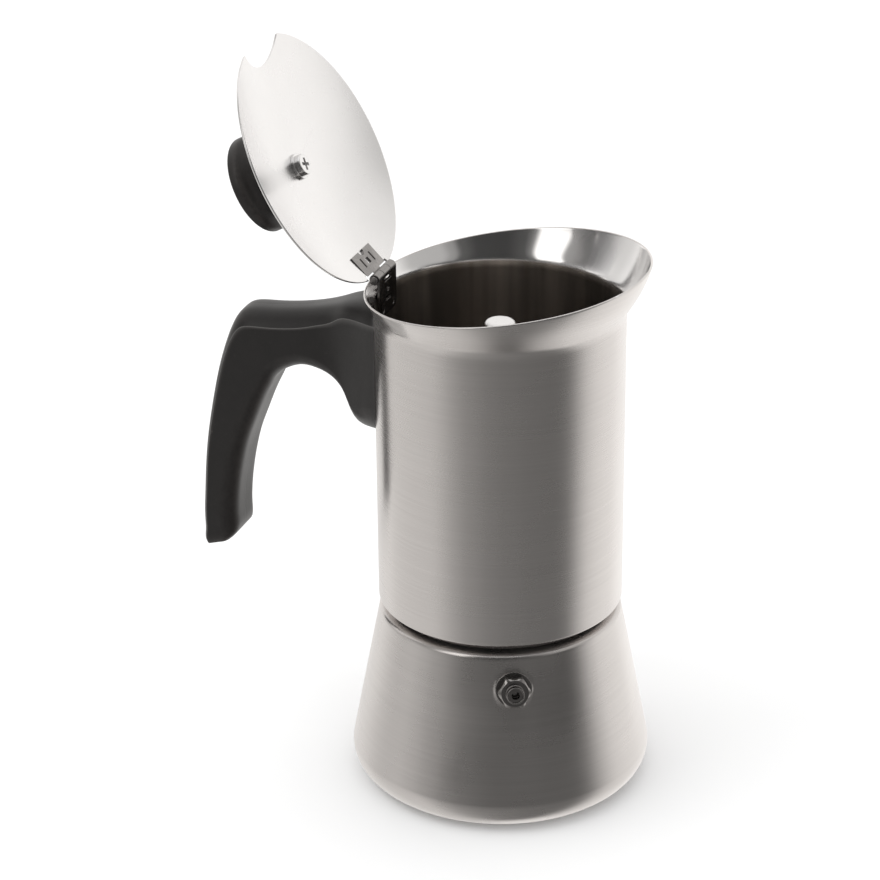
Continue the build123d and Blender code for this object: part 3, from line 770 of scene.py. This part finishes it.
# ---- collector ------------------------------------------------------------------------------
class MOKA_OT_collector(bpy.types.Operator):
    """Collector: straight wall, tucked skirt and flared slanted rim"""
    bl_idname = "moka.collector"
    bl_label = "Collector"

    def rim(self, angles):
        """Height where the flare meets the slanted rim plane, found by repeating
        z = rim height + slope * radius(z) * cos(angle) until it settles."""
        z = np.full(angles.shape, sizes().rim_height / MM)
        for _ in range(20):
            z = sizes().rim_height / MM + RIM_SLOPE * flare_radius(z) * np.cos(angles)
        return z

    def flare(self, angles, rows=46):
        """Outside of the flare, a rounded lip and the inside one sheet further in, measured
        square to the wall."""
        t = sizes().sheet / MM
        low = sizes().flare_start / MM - 3.5
        top = self.rim(angles) - 0.42 * t
        share_up = np.linspace(0, 1, rows)[:, None] ** 1.25
        z = low + share_up * (top - low)
        step = 0.01
        slope = (flare_radius(z + step) - flare_radius(z - step)) / (2 * step)
        long = np.hypot(1, slope)
        out_r, out_z = 1 / long, -slope / long
        r = flare_radius(z)
        inner_r, inner_z = r - t * out_r, z - t * out_z
        turn = np.linspace(0, math.pi, 9)[1:-1, None]
        mid_r, mid_z = r[-1] - t / 2 * out_r[-1], z[-1] - t / 2 * out_z[-1]
        lip_r = mid_r + t / 2 * (out_r[-1] * np.cos(turn) + slope[-1] / long[-1] * np.sin(turn))
        lip_z = mid_z + t / 2 * (out_z[-1] * np.cos(turn) + 1 / long[-1] * np.sin(turn))
        return [np.stack([radius * np.cos(angles), radius * np.sin(angles), height], axis=-1)
                for radius, height in ((r, z), (lip_r, lip_z), (inner_r[::-1], inner_z[::-1]))]

    def skirt(self):
        """Profile below the flare: down the inside, the tucked skirt and up the outside."""
        r = sizes().wall_radius / MM
        t = sizes().sheet / MM
        corners = [(r - t, 160), (r - t, 67.9), (SKIRT_RADIUS, 64.6), (SKIRT_RADIUS, 63.75),
                   (r, 66.95), (r, 160)]
        return rounded(corners, [0, 0.7, 0.1, 0.1, 0.6, 0], steps=8)

    def execute(self, context):
        angles = np.arange(400) * 2 * math.pi / 400
        low = revolved(self.skirt(), angles)
        out, lip, inner = self.flare(angles)
        grid = np.concatenate([inner, low, out, lip])
        half = (len(inner) + len(low) / 2) / len(grid)
        piece("collector_shell", grid, "collector", collector_finish(half),
              rows_closed=True, sharp=60, replaces=("collector_body",))
        cap = [(0, 167), (5.4, 167), (5.4, 152), (4.5, 152), (4.5, 160), (0, 160)]
        radii = [0, 1.5, 0.2, 0.2, 0.2, 0]
        piece("column_top", revolved(rounded(cap, radii), np.arange(96) * 2 * math.pi / 96),
              "collector", polished("bright_steel", finishes().bright, 0.16),
              sharp=50, replaces=("column_cap",))
        return {"FINISHED"}


# ---- grip -----------------------------------------------------------------------------------
# Stations along the grip, from the collector over the bend to the foot: the ridge along its
# top and back (x, z), the middle of its inner side (x, z), half its width, how far the crown
# falls from the ridge to the crease, the radius of its inner edges, and the power that shapes
# the crown, from a soft crown on top to an almost flat back.
GRIP_STATIONS = (
    (-36.0, 171.6, -37.0, 125.2, 18.5, 5.2, 12.0, 3.0),
    (-42.5, 171.0, -43.6, 125.2, 15.6, 4.8, 10.5, 3.0),
    (-47.0, 170.2, -46.6, 125.5, 13.4, 4.2, 9.0, 3.2),
    (-52.6, 168.9, -49.6, 128.2, 11.6, 3.6, 7.6, 3.4),
    (-57.0, 167.4, -52.2, 134.8, 10.8, 4.4, 6.6, 3.4),
    (-61.8, 165.9, -56.4, 140.4, 10.5, 4.6, 6.0, 3.2),
    (-68.0, 164.4, -62.4, 143.6, 10.5, 4.8, 5.6, 3.2),
    (-75.0, 163.2, -68.4, 144.4, 10.5, 4.9, 5.4, 3.2),
    (-81.6, 162.5, -73.0, 143.0, 10.5, 4.9, 5.4, 3.2),
    (-87.4, 162.1, -76.8, 140.8, 10.5, 4.8, 5.4, 3.2),
    (-91.4, 160.9, -79.2, 138.4, 10.5, 4.3, 5.4, 3.4),
    (-94.2, 157.0, -80.8, 135.4, 10.5, 3.4, 5.4, 4.0),
    (-96.5, 151.0, -82.4, 132.2, 10.5, 2.6, 5.4, 4.8),
    (-99.2, 142.4, -84.6, 127.4, 10.5, 2.4, 5.4, 5.4),
    (-102.1, 130.0, -87.4, 120.4, 10.5, 2.2, 5.4, 6.0),
    (-104.8, 115.8, -90.6, 111.8, 10.5, 2.0, 5.4, 6.0),
    (-106.4, 103.2, -93.2, 101.0, 10.5, 2.0, 5.4, 6.0),
    (-107.4, 90.4, -94.8, 90.2, 10.5, 2.0, 5.4, 6.0),
    (-107.8, 81.0, -95.2, 82.4, 10.5, 2.0, 5.4, 6.0),
    (-107.8, 76.8, -95.2, 79.4, 10.45, 2.0, 5.2, 6.0),
    (-107.9, 74.6, -95.5, 77.6, 10.5, 1.8, 4.8, 6.0),
    (-107.6, 72.7, -96.4, 75.7, 10.3, 1.5, 3.8, 6.0),
    (-106.7, 71.6, -98.2, 74.0, 9.8, 1.0, 2.4, 6.0),
)


class MOKA_OT_grip(bpy.types.Operator):
    """Moulded grip: crowned ridge, crisp crease, soft inner edges and a saddle on the wall"""
    bl_idname = "moka.grip"
    bl_label = "Grip"

    def section(self, ridge, inner, half, crown, edge, power):
        """One outline per station, in the plane through the ridge, the inner line and Y: a
        crown falling by crown * |share of the width| ** power, a small round at the crease,
        straight flanks, and quarter rounds on the inner side."""
        thick = np.linalg.norm(ridge - inner, axis=1)[:, None]
        up = (ridge - inner) / thick
        half, crown, edge, power = (value[:, None] for value in (half, crown, edge, power))
        edge = np.minimum(edge, 0.92 * half)
        crease = 0.3
        over = np.linspace(-1, 1, 31)[None]
        over = np.sign(over) * np.abs(over) ** 0.8
        top_y = over * (half - crease)
        top_q = thick - crown * np.abs(over) ** power
        bend = np.linspace(0, math.pi / 2, 6)[None, 1:]
        bend_y = half - crease + crease * np.sin(bend)
        bend_q = thick - crown - 0.75 * crease * (1 - np.cos(bend))
        fall = np.linspace(0, 1, 9)[None, 1:]
        flank_y = half + 0 * fall
        flank_q = bend_q[:, -1:] * (1 - fall) + (edge + 0.2) * fall
        arc = np.linspace(0, math.pi / 2, 10)[None]
        round_y = half - edge + edge * np.cos(arc)
        round_q = edge - edge * np.sin(arc)
        base = np.linspace(1, -1, 7)[None, 1:-1]
        base_y = base * (half - edge)
        base_q = 0 * base_y
        y = np.hstack([top_y, bend_y, flank_y, round_y, base_y, -round_y[:, ::-1],
                       -flank_y[:, ::-1], -bend_y[:, ::-1]])
        q = np.hstack([top_q, bend_q, flank_q, round_q, base_q, round_q[:, ::-1],
                       flank_q[:, ::-1], bend_q[:, ::-1]])
        place = inner[:, None] + up[:, None] * q[..., None]
        return np.stack([place[..., 0], y, place[..., 1]], axis=-1)

    def execute(self, context):
        stations = np.asarray(GRIP_STATIONS)
        stations[:, 4] *= sizes().grip_half / MM / 10.5
        middle = (stations[:, :2] + stations[:, 2:4]) / 2
        knots = np.concatenate([[0], np.cumsum(np.linalg.norm(np.diff(middle, axis=0), axis=1))])
        rows = np.linspace(0, knots[-1], 150)
        s = through_at(knots, stations, rows)
        body = self.section(s[:, :2], s[:, 2:4], s[:, 4], s[:, 5], s[:, 6], s[:, 7])
        first, last = body[0], body[-1]
        near = np.linspace(0.0, 0.96, 14)[:, None, None]
        start = first.mean(axis=0) + near * (first - first.mean(axis=0))
        shrink = np.cos(np.linspace(0, math.pi / 2, 7)[1:])[:, None, None]
        tip = last.mean(axis=0) + np.array([0.1, 0, -0.6])
        end = last.mean(axis=0) + shrink * (last - last.mean(axis=0)) + (1 - shrink) * (
            tip - last.mean(axis=0))
        grid = np.concatenate([start, body, end])
        away = np.hypot(grid[..., 0], grid[..., 1])
        wall = sizes().wall_radius / MM - 0.03
        inside = away < wall
        grid[..., :2] *= np.where(inside, wall / np.maximum(away, 1e-6), 1.0)[..., None]
        f = finishes()
        piece("grip", grid, "collector",
              moulded("black_grip_plastic", f.plastic, f.plastic_rough, seam=True), sharp=34,
              replaces=("handle_grip",))
        return {"FINISHED"}


# ---- lid ------------------------------------------------------------------------------------
def lid_steel():
    return polished("polished_lid_steel", shaded(finishes().bright, 1.03), 0.23, 0.05,
                    (500, 500, 500))


class MOKA_OT_lid(bpy.types.Operator):
    """Domed lid with its steam notch and the relief at the hinge"""
    bl_idname = "moka.lid"
    bl_label = "Lid"

    def outline(self, angles):
        """Distance from the lid's middle to its edge: the lid's radius, cut by the circle of
        the steam notch and by the straight relief at the hinge."""
        radius = sizes().lid_radius / MM
        notch, middle = 16.8, 52.1
        reach = notch ** 2 - (middle * np.sin(angles)) ** 2
        open_way = (reach > 0) & (np.cos(angles) > 0)
        cut = np.where(open_way, middle * np.cos(angles) - np.sqrt(np.maximum(reach, 0)), 99.0)
        blend = 0.45
        soft = 0.5 * (radius + cut - np.sqrt((radius - cut) ** 2 + blend ** 2))
        edge = np.where(open_way, soft, radius)
        depth, half = 2.6, 9.0
        straight = (radius - depth) / np.maximum(-np.cos(angles), 1e-6)
        in_relief = (np.cos(angles) < 0) & (np.abs(np.sin(angles)) * straight < half)
        return np.where(in_relief, np.minimum(edge, straight), edge)

    def angles(self):
        half = math.atan2(9.0, sizes().lid_radius / MM - 2.6)
        fine = np.radians(17.6) + np.radians(np.linspace(-2.5, 2.5, 41))
        relief = math.pi - half + np.array([-0.0035, -0.0005, 0.0005, 0.0035])
        every = np.concatenate([np.linspace(-math.pi, math.pi, 361)[:-1], fine, -fine, relief,
                                -relief])
        return np.unique(np.round(every, 5))

    def dome(self, radius, lift):
        """Height of the spherical cap through the lid's edge, raised by lift along its normal."""
        rim, rise = sizes().lid_radius / MM, sizes().lid_rise / MM
        ball = (rim ** 2 + rise ** 2) / (2 * rise)
        return np.sqrt((ball + lift) ** 2 - radius ** 2) - (ball - rise)

    def execute(self, context):
        angles = self.angles()
        edge = self.outline(angles)
        t = sizes().sheet / MM
        hole = 2.1
        steps = 1 - np.concatenate([[0, 0.006], np.linspace(0.02, 1, 40)])[:, None]
        radius = hole + (edge - hole) * steps
        under = np.stack([radius, self.dome(radius, 0)], axis=-1)[::-1]
        over = np.stack([radius, self.dome(radius, t)], axis=-1)
        turn = np.linspace(-math.pi / 2, math.pi / 2, 7)[1:-1, None]
        middle = (under[-1] + over[0]) / 2
        half = np.abs(over[0][:, 1] - under[-1][:, 1]) / 2
        lip = np.stack([middle[:, 0] + 0.16 * np.cos(turn),
                        middle[:, 1] + half * np.sin(turn)], axis=-1)
        profile = np.concatenate([under, lip, over])
        grid = np.stack([profile[..., 0] * np.cos(angles), profile[..., 0] * np.sin(angles),
                         profile[..., 1]], axis=-1)
        piece("lid_dome", turned(in_lid(), grid), "lid", lid_steel(),
              rows_closed=True, sharp=60, replaces=("lid_plate",))
        return {"FINISHED"}


class MOKA_OT_knob(bpy.types.Operator):
    """Black lid knob with its screw and washer"""
    bl_idname = "moka.knob"
    bl_label = "Knob"

    def execute(self, context):
        low = (sizes().lid_rise + sizes().sheet) / MM
        high = low + 17.6
        r = sizes().knob_radius / MM
        side = through([(9.0, low + 0.9), (9.3, low + 3.4), (10.6, low + 7.4), (13.6, low + 11.4),
                        (r - 0.25, high - 4.2), (r, high - 2.6)], 44)
        over = through([(r - 0.5, high - 1.3), (r - 3.0, high - 0.62), (r - 8, high - 0.15),
                        (0, high)], 30)
        crisp = rounded([tuple(side[-1]), (r + 0.02, high - 1.35), tuple(over[0])], [0, 0.45, 0],
                        steps=7, support=0.1)
        foot = rounded([(0, low - 0.1), (8.4, low - 0.5), tuple(side[0])], [0, 0.4, 0], steps=6)
        profile = np.vstack([foot, side, crisp, over])
        grid = revolved(profile, np.arange(160) * 2 * math.pi / 160)
        f = finishes()
        plastic = moulded("black_knob_plastic", shaded(f.plastic, 1.5), f.plastic_rough + 0.02)
        piece("lid_knob", turned(in_lid(), grid), "lid", plastic, sharp=50,
              replaces=("knob",))
        bright = polished("bright_steel", f.bright, 0.16)
        softened("knob_screw", "lid_screw", "lid", bright, 0.12)
        softened("knob_washer", "lid_washer", "lid", bright, 0.15)
        return {"FINISHED"}


class MOKA_OT_hinge(bpy.types.Operator):
    """Lid hinge: both leaves and the pin, with rounded edges"""
    bl_idname = "moka.hinge"
    bl_label = "Hinge"

    def execute(self, context):
        # The hinge's steel is darkened to 0.4 of the steel colour: painted shade.
        painted_shade_steel = steel("satin_hinge_steel", shaded(finishes().steel, 0.4), 0.27,
                       across=(700, 3200, 700), coarse=(120, 500, 120), spread=0.08, depth=0.04)
        softened("vessel_leaf", "hinge_lower_leaf", "collector", painted_shade_steel, 0.16)
        softened("lid_leaf", "hinge_upper_leaf", "lid", painted_shade_steel, 0.16)
        softened("hinge_pin", "hinge_axle", "collector", painted_shade_steel, 0.15)
        return {"FINISHED"}


# ---- pieces whose CAD shape stays -----------------------------------------------------------
class MOKA_OT_inner_parts(bpy.types.Operator):
    """Finishes of the funnel, filter, gasket, floor, column, bracket and fasteners"""
    bl_idname = "moka.inner_parts"
    bl_label = "Inner parts"

    def execute(self, context):
        f = finishes()
        inner = inner_steel()
        valve = satin_steel()
        fastener = steel("plated_screw_steel", shaded(f.bright, 0.9), 0.18,
                         across=EVEN_FINE, coarse=EVEN_WIDE, spread=0.06, depth=0.02)
        brass = steel("turned_brass", f.brass, 0.24, across=(40, 40, 4000), coarse=(12, 12, 700))
        seal = soft_seal("silicone_seal", f.silicone)
        floor = steel("spun_floor_steel", shaded(f.steel, 0.98), 0.30, across=(420, 420, 420),
                      coarse=(90, 90, 90), spread=0.08, depth=0.04)
        uses = {"funnel_basket": inner, "funnel_stem": inner, "funnel_screen": inner,
                "filter_plate": inner, "collector_floor": floor, "collector_collar": inner,
                "column": inner, "valve_nut": valve, "valve_retainer": valve,
                "valve_plunger": valve, "handle_bracket": fastener, "handle_screw": fastener,
                "knob_insert": brass, "gasket": seal}
        for node, material in uses.items():
            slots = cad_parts[node].data.materials
            slots.clear()
            slots.append(material)
        return {"FINISHED"}


# ---- stage ----------------------------------------------------------------------------------
# Brightness of the studio as a metal wall sees it, by angle from the camera's side: pairs of
# degrees (positive towards the right) and brightness, looking down at the table round the pot,
# level, and up to the lamps.
TABLE_LIGHT = ((-180, 1.05), (-150, 1.0), (-128, 1.05), (-112, 0.92), (-86, 0.86), (-66, 0.86),
               (-60, 0.80), (-52, 0.68), (-44, 0.56), (-30, 0.42), (-8, 0.31), (5, 0.265),
               (30, 0.22), (54, 0.20), (64, 0.24), (71, 0.40), (78, 0.66), (88, 0.92),
               (100, 1.05), (118, 1.15), (140, 1.3), (180, 1.2))
LEVEL_LIGHT = ((-180, 1.2), (-140, 1.15), (-120, 0.80), (-98, 0.60), (-84, 0.66), (-70, 0.50),
               (-60, 0.34), (-50, 0.28), (-42, 0.15), (-32, 0.115), (-18, 0.095), (-4, 0.085),
               (10, 0.10), (24, 0.11), (36, 0.09), (60, 0.07), (70, 0.14), (76, 0.36),
               (86, 0.70), (97, 1.04), (112, 1.12), (135, 1.14), (180, 1.2))
HIGH_LIGHT = ((-180, 1.0), (-135, 0.9), (-122, 1.1), (-106, 1.05), (-99, 0.40), (-80, 0.32),
              (-66, 0.38), (-60, 1.6), (-38, 1.6), (-32, 0.20), (-24, 0.085), (-5, 0.05),
              (20, 0.055), (38, 0.11), (47, 0.34), (60, 0.52), (90, 0.55), (112, 0.9),
              (140, 1.0), (180, 1.0))


CAMERA_PLACE = (0.27792637, -0.82483519, 0.5235)


class MOKA_OT_stage(bpy.types.Operator):
    """White table, soft studio light and camera"""
    bl_idname = "moka.stage"
    bl_label = "Stage"

    def ramp(self, tree, angle, stops):
        """Brightness by angle: a colour ramp over -180 to 180 degrees."""
        ramp = add(tree, "ValToRGB", {0: angle})
        bar = ramp.color_ramp
        bar.interpolation = "EASE"
        bar.elements[0].position, bar.elements[1].position = 0, 1
        for number, (degrees, light) in enumerate(stops):
            place = (degrees + 180) / 360
            stop = (bar.elements[0] if number == 0 else bar.elements[-1] if
                    number == len(stops) - 1 else bar.elements.new(place))
            stop.color = (light / 2, light / 2 * 0.985, light / 2 * 0.965, 1)
        return ramp.outputs["Color"]

    def world(self, facing):
        world = bpy.data.worlds.new("studio")
        bpy.context.scene.world = world
        world.use_nodes = True
        tree = world.node_tree
        tree.nodes.clear()
        way = add(tree, "TexCoord").outputs["Generated"]
        parts = add(tree, "SeparateXYZ", {0: way}).outputs
        angle = calc(tree, "ARCTAN2", parts[1], parts[0])
        angle = calc(tree, "SUBTRACT", angle, facing - math.pi)
        angle = calc(tree, "DIVIDE", calc(tree, "FLOORED_MODULO", angle, 2 * math.pi), 2 * math.pi)
        table = self.ramp(tree, angle, TABLE_LIGHT)
        level = self.ramp(tree, angle, LEVEL_LIGHT)
        lower = ranged(tree, parts[2], -0.42, -0.12, 0.0, 1.0)
        side = mixed(tree, lower, table, level)
        high = self.ramp(tree, angle, HIGH_LIGHT)
        upper = ranged(tree, parts[2], 0.20, 0.50, 0.0, 1.0)
        side = mixed(tree, upper, side, high)
        above = ranged(tree, parts[2], 0.86, 0.97, 0.0, 1.0)
        whole = mixed(tree, above, side, (0.5, 0.5, 0.5))
        gloss = add(tree, "Background", {"Color": whole, "Strength": 2.0})
        plain = add(tree, "Background", {"Color": (1, 1, 1, 1), "Strength": 1.12})
        ray = add(tree, "LightPath").outputs["Is Glossy Ray"]
        both = add(tree, "MixShader", {0: ray, 1: plain.outputs[0], 2: gloss.outputs[0]})
        out = add(tree, "OutputWorld")
        tree.links.new(both.outputs[0], out.inputs["Surface"])

    def floor(self):
        mesh = bpy.data.meshes.new("table_top")
        half, low = 4.0, -0.0002
        mesh.from_pydata([(-half, -half, low), (half, -half, low), (half, half, low),
                          (-half, half, low)], [], [(0, 1, 2, 3)])
        made, tree, shader = blank("white_table")
        shader.inputs["Base Color"].default_value = (0.97, 0.97, 0.97, 1)
        shader.inputs["Roughness"].default_value = 0.7
        shader.inputs["Specular IOR Level"].default_value = 0.1
        mesh.materials.append(made)
        table = bpy.data.objects.new("table_top", mesh)
        bpy.context.scene.collection.objects.link(table)
        table.visible_glossy = False

    def camera(self):
        data = bpy.data.cameras.new("camera")
        made = bpy.data.objects.new("camera", data)
        bpy.context.scene.collection.objects.link(made)
        data.lens, data.sensor_width = 115.88, 36.0
        data.clip_start, data.clip_end = 0.05, 20.0
        side = np.array([0.9413714, 0.33723659, -0.00955846])
        up = np.array([-0.13267833, 0.39611379, 0.90856498])
        back = np.cross(side, up)
        matrix = np.eye(4)
        matrix[:3, 0], matrix[:3, 1], matrix[:3, 2] = side, up, back
        matrix[:3, 3] = CAMERA_PLACE
        made.matrix_world = Matrix(matrix.tolist())
        bpy.context.scene.camera = made

    def light(self, name, place, aim, size, power):
        data = bpy.data.lights.new(name, "AREA")
        data.shape, data.size, data.energy = "DISK", size, power
        made = bpy.data.objects.new(name, data)
        bpy.context.scene.collection.objects.link(made)
        made.location = place
        way = np.asarray(place, float) - np.asarray(aim, float)
        turn = math.atan2(math.hypot(way[0], way[1]), way[2])
        made.rotation_euler = (turn, 0, math.atan2(way[1], way[0]) + math.pi / 2)
        made.visible_glossy = False
        return made

    def execute(self, context):
        context.scene.view_settings.view_transform = "Standard"
        self.camera()
        self.floor()
        self.world(math.atan2(CAMERA_PLACE[1], CAMERA_PLACE[0]))
        self.light("soft_key", (-0.7, -0.5, 1.2), (0, 0, 0.1), 0.9, 3.0)
        return {"FINISHED"}


class MOKA_PT_panel(bpy.types.Panel):
    """Sidebar panel that lists the pot's pieces"""
    bl_idname = "MOKA_PT_panel"
    bl_label = "Moka pot"
    bl_space_type = "VIEW_3D"
    bl_region_type = "UI"
    bl_category = "Moka pot"

    def draw(self, context):
        for operator in OPERATORS:
            self.layout.operator(operator.bl_idname)
        for group_of in (context.scene.pot_sizes, context.scene.pot_finishes):
            for name in group_of.__annotations__:
                self.layout.prop(group_of, name)


OPERATORS = (MOKA_OT_boiler, MOKA_OT_valve, MOKA_OT_collector, MOKA_OT_grip, MOKA_OT_lid,
             MOKA_OT_knob, MOKA_OT_hinge, MOKA_OT_inner_parts, MOKA_OT_stage)
CLASSES = (PotSizes, PotFinishes) + OPERATORS + (MOKA_PT_panel,)


def register():
    for kind in CLASSES:
        bpy.utils.register_class(kind)
    bpy.types.Scene.pot_sizes = PointerProperty(type=PotSizes)
    bpy.types.Scene.pot_finishes = PointerProperty(type=PotFinishes)


def unregister():
    del bpy.types.Scene.pot_finishes
    del bpy.types.Scene.pot_sizes
    for kind in reversed(CLASSES):
        bpy.utils.unregister_class(kind)


def main():
    register()
    for operator in (bpy.ops.moka.stage, bpy.ops.moka.boiler, bpy.ops.moka.valve,
                     bpy.ops.moka.collector, bpy.ops.moka.grip, bpy.ops.moka.lid,
                     bpy.ops.moka.knob, bpy.ops.moka.hinge, bpy.ops.moka.inner_parts):
        operator()


if __name__ == "__main__":
    main()
